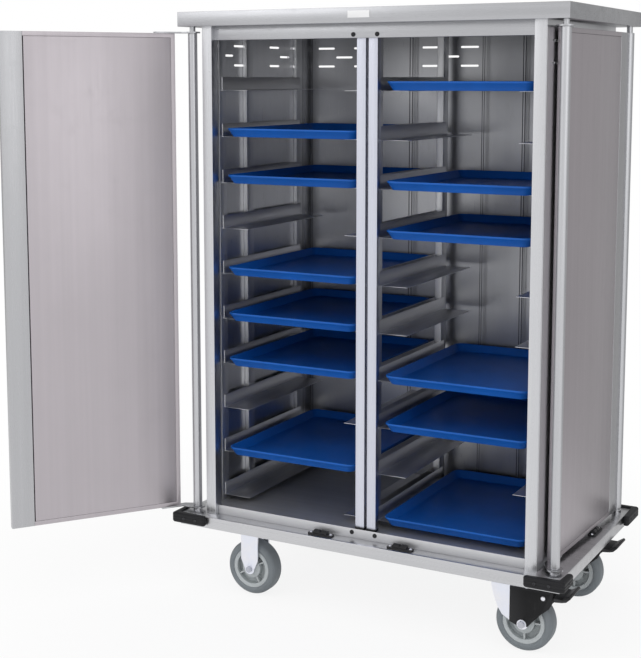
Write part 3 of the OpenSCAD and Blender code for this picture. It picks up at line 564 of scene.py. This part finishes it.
def stop_buttons():
    """Domed buttons on the header and the sill, which the doors close against."""
    dome = [(0, 0), (6, 0), (6, 1.2), (5.6, 2.2), (4.6, 3.2), (3.2, 3.8), (0, 4)]
    forward = Matrix.Rotation(math.radians(90), 4, "X")
    bm = bmesh.new()
    for side in (-1, 1):
        for z in BUTTON_HEIGHTS:
            first = len(bm.verts)
            lathe(bm, dome, 32)
            moved(bm, first, Matrix.Translation((side * BUTTON_X, FACE_FRONT, z)) @ forward)
    piece("stop_buttons_domed", bm, "cart", "black_plastic", ["stop_buttons"], 40)


def tubes():
    """The corner tubes, and the collars, pins and plugs that hold them between the deck and the roof."""
    inner, outer = TUBE_RADIUS - TUBE_WALL, TUBE_RADIUS
    plug, collar_top = inner - PLUG_CLEARANCE, DECK + COLLAR_HEIGHT
    tube = [
        (inner, TUBE_BOTTOM),
        (outer - TUBE_CHAMFER, TUBE_BOTTOM),
        (outer, TUBE_BOTTOM + TUBE_CHAMFER),
        (outer, TUBE_TOP - TUBE_CHAMFER),
        (outer - TUBE_CHAMFER, TUBE_TOP),
        (inner, TUBE_TOP),
    ]
    lower_pin = [
        (0, DECK),
        (outer, DECK),
        (outer, collar_top - COLLAR_CHAMFER),
        (outer - COLLAR_CHAMFER, collar_top),
        (PIN_RADIUS, collar_top),
        (PIN_RADIUS, TUBE_BOTTOM),
        (plug, TUBE_BOTTOM),
        (plug, TUBE_BOTTOM + PLUG_LENGTH),
        (0, TUBE_BOTTOM + PLUG_LENGTH),
    ]
    upper_pin = [
        (0, TUBE_TOP - PLUG_LENGTH),
        (plug, TUBE_TOP - PLUG_LENGTH),
        (plug, TUBE_TOP),
        (PIN_RADIUS, TUBE_TOP),
        (PIN_RADIUS, ROOF_BOTTOM),
        (0, ROOF_BOTTOM),
    ]
    bm, pins = bmesh.new(), bmesh.new()
    for x in (-TUBE_X, TUBE_X):
        for y in (TUBE_FRONT, TUBE_REAR):
            lathe(bm, tube, 64, origin=(x, y, 0), closed=True)
            lathe(pins, lower_pin, 48, origin=(x, y, 0))
            lathe(pins, upper_pin, 48, origin=(x, y, 0))
    piece("corner_tubes_turned", bm, "cart", "stainless_z", ["corner_tubes"])
    piece("tube_pins_turned", pins, "cart", "stainless_z", ["tube_pins"])


def wall_seams():
    """Narrow dark strips on the back wall's upright seams, inside the cabinet: painted shade for the shadow
    in the seams.
    """
    lo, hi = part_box("back_wall")
    face = lo.y / MM - DATUM[1]
    back, front = face + SEAM_SEAT, face - SEAM_RISE
    bottom, top = lo.z / MM + SEAM_BOTTOM_GAP, hi.z / MM - SEAM_TOP_GAP
    bm = bmesh.new()
    for x, width in WALL_SEAM_SHADES:
        left, right, slope = x - width / 2, x + width / 2, min(SEAM_SLOPE, width / 3)
        prism(bm, [(left, back), (left + slope, front), (right - slope, front), (right, back)], bottom, top)
    piece("back_wall_seam_strips", bm, "cart", "seam_shade", (), 20)


def cabinet():
    """The sheet cabinet with its doorway, roof, tubes and racks."""

    def roof_side(edge):
        return on_outline(edge, ROOF_HALF, ROOF_FRONT, ROOF_REAR)

    walls()
    softened("cabinet_floor", "cart", "base", 0.9, 2, least=100)
    softened("front_posts", "cart", "post", 0.8, 3, least=200)
    # the header's darker stainless is painted shade under the roof's overhang
    softened("header", "cart", "stainless_x", 0.8, 3, least=20)
    softened("mullions", "cart", "mullion", 0.9, 3, least=200)
    softened("mullion_feet", "cart", "black_plastic", 1.0, 2)
    softened("roof_cap", "cart", "stainless_x", 0.9, 3, pick=roof_side)
    softened("roof_plate", "cart", "plate", 0.5, 2)
    stop_buttons()
    tubes()
    wall_seams()
    # the rack wears lighter copies of the stainless: painted light
    softened("rack_uprights", "cart", "upright", 0.8, 2, least=100)
    softened("rack_ledges", "cart", "rack", 0.35, 1, least=60)


# ---- Doors ----


def doors():
    """Both doors: outer shell, inner panel, free edge and hinge arms."""
    for side in ("left", "right"):
        body = side + "_door"
        softened(side + "_door_shell", body, "door", 1.1, 3, least=150)
        softened(side + "_door_panel", body, "door", 0.7, 2, least=150)
        softened(side + "_door_stile", body, "stile", 0.9, 3, least=150)
        softened(side + "_hinge_arms", body, "stainless_x", 0.6, 2, least=8)


# ---- Trays ----


def tray_mesh(width, length, height):
    """A moulded tray about its middle: flared sides, a thick rolled rim and a soft bend to the floor."""
    flare, lip_bottom = TRAY_FLARE, height - TRAY_LIP
    profile = [  # inset and height, up the outside, over the rim and down the inside
        (flare + 3, 0),
        (flare + 1.2, 0.3),
        (flare + 0.2, 1.4),
        (2.2, lip_bottom - 0.8),
        (0.5, lip_bottom),
        (0, lip_bottom + 0.8),
        (0, height - 1),
        (0.3, height - 0.3),
        (1, height),
        (2.6, height),
        (3.4, height - 0.4),
        (4.0, height - 1.2),
        (flare + 2.2, 5.2),
        (flare + 3.4, 3.8),
        (flare + 5.5, 3.1),
        (flare + 8, 3),
    ]

    def ring(inset, z):
        outline = rounded_rectangle(width / 2 - inset, length / 2 - inset, TRAY_CORNER - inset / 2, 8)
        return [(x, y, z) for x, y in outline]

    bm = bmesh.new()
    rings(bm, [ring(inset, z) for inset, z in profile])
    return bm


def trays():
    """A moulded tray for each of the CAD's, riding on its own body."""
    for node in sorted(n for n in NODES if n.startswith("tray_")):
        lo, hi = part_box(node)
        middle = (lo + hi) / 2
        at = Matrix.Translation((middle.x, middle.y, lo.z)) @ Matrix.Scale(MM, 4)
        side, level = node.split("_")[1:]
        bm = tray_mesh(*((hi - lo) / MM))
        piece(node + "_moulded", bm, f"{side}_tray_{level}", "tray", [node], 40, at)


# ---- Casters ----


def tyre_profile():
    """A tyre's section as (radius, place along the axle): beads, side walls and a round shoulder."""
    shoulder, half = TYRE_SHOULDER, TREAD_HALF
    right = [(RIM_RADIUS + 0.05, half - 3), (RIM_RADIUS + 1.2, half - 1.6), (RIM_RADIUS + 3.2, half - 0.6)]
    right += [(r, y) for y, r in arc(half - shoulder, WHEEL_RADIUS - shoulder, shoulder, 0, 90, 10)]
    return [(r, -y) for r, y in reversed(right)] + right


def hub_profile():
    """Rim ring, recessed web, raised hub disc and barrel, as one turned outline round the bore."""
    half, face, web = HUB_HALF, TREAD_HALF - 2, WEB_HALF
    right = [
        (AXLE_RADIUS + 0.3, half),
        (11, half),
        (15, half - 0.8),
        (16, half - 2),
        (16, face + 2.5),
        (17, face + 2),
        (26.5, face),
        (28, face - 1.2),
        (28, web + 2),
        (30, web),
        (43.5, web),
        (45, web + 1.5),
        (45, face - 1),
        (46, face),
        (55, face),
        (RIM_RADIUS, face - 1),
    ]
    return right + [(r, -y) for r, y in reversed(right)]


def spokes(bm, first_spoke):
    """Four spokes on each side of the web, narrower toward the rim and on their crests."""
    foot = [(27, -2.6), (45.5, -2.2), (45.5, 2.2), (27, 2.6)]
    crest = [(27, -1.9), (45.5, -1.6), (45.5, 1.6), (27, 1.9)]
    levels = ((WEB_HALF - 0.5, foot), (SPOKE_RISE - 0.6, foot), (SPOKE_RISE, crest))
    for quarter in range(4):
        first = len(bm.verts)
        for side in (-1, 1):
            rings(bm, [[(u, side * h, v) for u, v in outline] for h, outline in levels])
        moved(bm, first, Matrix.Rotation(math.radians(-first_spoke - 90 * quarter), 4, "Y"))


def wheel(prefix, x, y, body, first_spoke):
    """A wheel standing on the floor, its first spoke turned by some degrees."""
    tyre, hub = bmesh.new(), bmesh.new()
    lathe(tyre, tyre_profile(), 96, "y", closed=True)
    lathe(hub, hub_profile(), 72, "y", closed=True)
    spokes(hub, first_spoke)
    at = TO_FRAME @ Matrix.Translation((x, y, WHEEL_RADIUS))
    piece(prefix + "_tyre_moulded", tyre, body, "tyre", [prefix + "_tyre"], 30, at)
    piece(prefix + "_hub_moulded", hub, body, "hub", [prefix + "_hub"], 30, at)


def hex_ring(bm, radius, low, high, chamfer, origin, axis="y", twist=0):
    """A hexagon nut or head, the corners of its outer end chamfered off."""
    loops = []
    for reach, h in ((1, low), (1, high - math.copysign(chamfer, high - low)), (0.9, high)):
        loop = []
        for k in range(24):
            off_flat = (math.radians(15 * k) + math.pi / 6) % (math.pi / 3) - math.pi / 6
            r = radius * min(math.cos(math.radians(30)) / math.cos(off_flat), reach)
            a = math.radians(15 * k + twist)
            loop.append(place(r * math.cos(a), r * math.sin(a), h, axis, origin))
        loops.append(loop)
    rings(bm, loops)


def axle(bm, washers, origin, bearing):
    """The axle bolt with its hexagon head and nut and the bolt's end standing through, and two washers."""
    washer = ((0, 0), (12.5, 0), (12.5, 1.6), (12.1, 2), (0, 2))
    bolt_end = ((0, 6), (5.4, 6), (5.4, 6.6), (4.8, 7), (0, 7))
    hex_radius, hex_low, hex_high, chamfer = 9.8, 1.9, 6.2, 1.2
    for side in (-1, 1):
        lathe(washers, outward(washer, side, bearing), 40, "y", origin)
        low, high = side * (bearing + hex_low), side * (bearing + hex_high)
        hex_ring(bm, hex_radius, low, high, chamfer, origin, twist=8)
        lathe(bm, outward(bolt_end, side, bearing), 24, "y", origin)
    shank = [(0, -bearing), (AXLE_RADIUS, -bearing), (AXLE_RADIUS, bearing), (0, bearing)]
    lathe(bm, shank, 32, "y", origin)


def brake_rivet(y):
    """The domed ends of the pin that the pedal turns on."""
    dome = ((0, 0), (6.2, 0), (6.2, 0.8), (5.6, 1.9), (4.2, 2.9), (2.2, 3.4), (0, 3.6))
    bm = bmesh.new()
    for side in (-1, 1):
        lathe(bm, outward(dome, side, BRAKE_OUTER), 32, "y", (SWIVEL_X + PIVOT_X, y, PIVOT_Z))
    return bm


def caster_bolts():
    """The bolts through the mounting plates and the rails: head below, nut and thread end above."""
    head, nut, chamfer, point = 5, 6, 0.9, 0.6
    shank = [
        (0, PLATE_BOTTOM),
        (BOLT_RADIUS, PLATE_BOTTOM),
        (BOLT_RADIUS, BOLT_TOP - point),
        (BOLT_RADIUS - point, BOLT_TOP),
        (0, BOLT_TOP),
    ]
    bm = bmesh.new()
    for y in CASTER_Y.values():
        for x in (RIGID_X, SWIVEL_X):
            for side_x, side_y in ((-1, -1), (-1, 1), (1, -1), (1, 1)):
                at = (x + side_x * PLATE_BOLT_X, y + side_y * PLATE_BOLT_Y, 0)
                hex_ring(bm, BOLT_HEX, PLATE_BOTTOM, PLATE_BOTTOM - head, chamfer, at, "z")
                hex_ring(bm, BOLT_HEX, RAIL_FLANGE_TOP, RAIL_FLANGE_TOP + nut, chamfer, at, "z")
                lathe(bm, shank, 24, "z", at)
    piece("caster_bolt_set", bm, "cart", "zinc", ["caster_bolts"])


def swivel_caster(end, y):
    """A braked caster under the cart's right end."""
    prefix, body, x = f"swivel_{end}", f"{end}_swivel", SWIVEL_X + TRAIL
    wheel(prefix, x, y, body + "_wheel", FIRST_SPOKE_SWIVEL)
    bolt, washers = bmesh.new(), bmesh.new()
    axle(bolt, washers, (x, y, WHEEL_RADIUS), BRAKE_OUTER)
    replaced = [prefix + "_axle"]
    piece(prefix + "_axle_washers", washers, body, "zinc", replaced)
    piece(prefix + "_brake_rivet", brake_rivet(y), body, "zinc", [prefix + "_brake"])
    piece(prefix + "_axle_bolt", bolt, body, "bolt", replaced, 25)
    softened(prefix + "_yoke", body, "zinc", 1.2, 2)
    softened(prefix + "_brake", body, "black_steel", 0.7, 2)
    softened(prefix + "_pedal", f"{end}_brake_pedal", "black_steel", 1.0, 2)


def casters():
    """Rigid casters at the left, swivel ones at the right, and the bolts that hold them."""
    bolts, washers = bmesh.new(), bmesh.new()
    for end, y in CASTER_Y.items():
        wheel(f"rigid_{end}", RIGID_X, y, f"rigid_{end}_wheel", FIRST_SPOKE_RIGID)
        axle(bolts, washers, (RIGID_X, y, WHEEL_RADIUS), FORK_OUTER)
        swivel_caster(end, y)
    piece("rigid_axle_bolts", bolts, "cart", "bolt", ["rigid_axles"], 25)
    piece("rigid_axle_washers", washers, "cart", "zinc", ["rigid_axles"])
    softened("rigid_forks", "cart", "zinc", 1.2, 2)
    softened("swivel_plates", "cart", "zinc", 0.8, 2)
    caster_bolts()


# ---- Camera ----

IMAGE_HEIGHT, FOCAL_LENGTH = 658, 1342  # pixels; the image is 641 wide
CAMERA_AT, CAMERA_AZIMUTH, CAMERA_PITCH, CAMERA_SHIFT = (1545, -3059, 1440), 28.37, 6.96, -0.13


def photographed_view(scene):
    """The camera at the photograph's place, heading left of the cart's depth and slightly down."""
    data = bpy.data.cameras.new("camera")
    data.sensor_width = 36
    data.lens = FOCAL_LENGTH * data.sensor_width / IMAGE_HEIGHT
    data.shift_y = CAMERA_SHIFT
    camera = bpy.data.objects.new("camera", data)
    scene.collection.objects.link(camera)
    azimuth, pitch = math.radians(CAMERA_AZIMUTH), math.radians(CAMERA_PITCH)
    level = math.cos(pitch)
    look = Vector((-math.sin(azimuth) * level, math.cos(azimuth) * level, -math.sin(pitch)))
    camera.location = TO_FRAME @ Vector(CAMERA_AT)
    camera.rotation_mode = "QUATERNION"
    camera.rotation_quaternion = look.to_track_quat("-Z", "Y")
    scene.camera = camera
    scene.view_settings.view_transform = "Standard"


# ---- Floor, world and lights ----

WHITE, BLACK = (1, 1, 1, 1), (0, 0, 0, 1)
REAR_LEVEL = 0.52  # brightness behind the cart, in reflections and as light, where the front's is 1


def falling(tree, value, start, end):
    """A brightness that falls smoothly from full to the rear level."""
    return spread(tree, value, start, end, 1.0, REAR_LEVEL, interpolation_type="SMOOTHSTEP")


def clear_view(tree, gloss=None):
    """1 for what the camera sees itself or through glass, and gloss or 1 for what reflections see."""
    path = add(tree, "LightPath").outputs
    mirrored = path["Is Glossy Ray"]
    if gloss is not None:
        mirrored = calculate(tree, "MULTIPLY", mirrored, gloss)
    seen = calculate(tree, "MAXIMUM", path["Is Camera Ray"], path["Is Transmission Ray"])
    return calculate(tree, "MAXIMUM", seen, mirrored)


def floor_material():
    """Matt white that lights the cart, seen as white with a faint shadow near it and plain further out."""
    material = bpy.data.materials.new("floor_white")
    material.use_nodes = True
    tree = material.node_tree
    tree.nodes.remove(tree.nodes["Principled BSDF"])
    coords = add(tree, "TexCoord").outputs["Object"]
    tone = mix_colours(tree, noise(tree, coords, 35), (0.88, 0.88, 0.88, 1), (0.92, 0.92, 0.92, 1))
    matt = add(tree, "BsdfDiffuse", {"Color": tone}).outputs[0]
    behind = falling(tree, add(tree, "SeparateXYZ", {0: coords}).outputs["Y"], -0.4, 1.6)
    mirrored = add(tree, "LightPath").outputs["Is Glossy Ray"]
    level = add(tree, "Mix", {0: mirrored, 2: 1.0, 3: behind}, data_type="FLOAT").outputs[0]
    glow = add(tree, "Emission", {"Color": WHITE, "Strength": level}).outputs[0]
    far = add(tree, "VectorMath", {0: coords}, operation="LENGTH").outputs["Value"]
    factor = calculate(tree, "MULTIPLY", spread(tree, far, 0.8, 1.9, 0.85, 1.0), clear_view(tree))
    mixed = add(tree, "MixShader", {0: factor, 1: matt, 2: glow}).outputs[0]
    tree.links.new(mixed, tree.nodes["Material Output"].inputs["Surface"])
    return material


def floor(scene, radius=40):
    """A round floor that reaches out of every view."""
    bm = bmesh.new()
    bmesh.ops.create_circle(bm, cap_ends=True, segments=96, radius=radius)
    mesh = bpy.data.meshes.new("floor")
    bm.to_mesh(mesh)
    bm.free()
    mesh.materials.append(floor_material())
    obj = bpy.data.objects.new("floor", mesh)
    scene.collection.objects.link(obj)


def room(scene, strength=1.12):
    """A white room, full white to the camera, that lights the cart softly and is dimmer behind it."""
    world = bpy.data.worlds.new("studio")
    scene.world = world
    world.use_nodes = True
    tree = world.node_tree
    direction = add(tree, "TexCoord").outputs["Generated"]
    back = falling(tree, add(tree, "SeparateXYZ", {0: direction}).outputs["Y"], -0.5, 0.9)
    power = calculate(tree, "MULTIPLY", back, strength)
    soft = add(tree, "Background", {"Color": WHITE, "Strength": power}).outputs[0]
    white = add(tree, "Background", {"Color": WHITE, "Strength": 1.0}).outputs[0]
    dark = add(tree, "Background", {"Color": BLACK, "Strength": 0.0}).outputs[0]
    mirrored = add(tree, "LightPath").outputs["Is Glossy Ray"]
    lit = add(tree, "MixShader", {0: mirrored, 1: soft, 2: dark}).outputs[0]
    mixed = add(tree, "MixShader", {0: clear_view(tree, back), 1: lit, 2: white}).outputs[0]
    tree.links.new(mixed, tree.nodes["World Output"].inputs["Surface"])


def area_light(scene, name, location, target, size, power):
    """A soft box that faces its target."""
    data = bpy.data.lights.new(name, "AREA")
    data.shape = "RECTANGLE"
    data.size, data.size_y = size
    data.energy = power
    obj = bpy.data.objects.new(name, data)
    obj.location = location
    obj.rotation_mode = "QUATERNION"
    obj.rotation_quaternion = (Vector(target) - Vector(location)).to_track_quat("-Z", "Y")
    scene.collection.objects.link(obj)


# ---- The whole ----

chassis()
cabinet()
doors()
trays()
casters()

scene = bpy.context.scene
photographed_view(scene)
floor(scene)
room(scene)
area_light(scene, "key", (-2.6, -3.4, 3.4), (0, 0, 0.9), (2.6, 3.0), 30)
area_light(scene, "fill", (3.6, -2.2, 2.2), (0, 0, 0.8), (2.4, 2.8), 10)
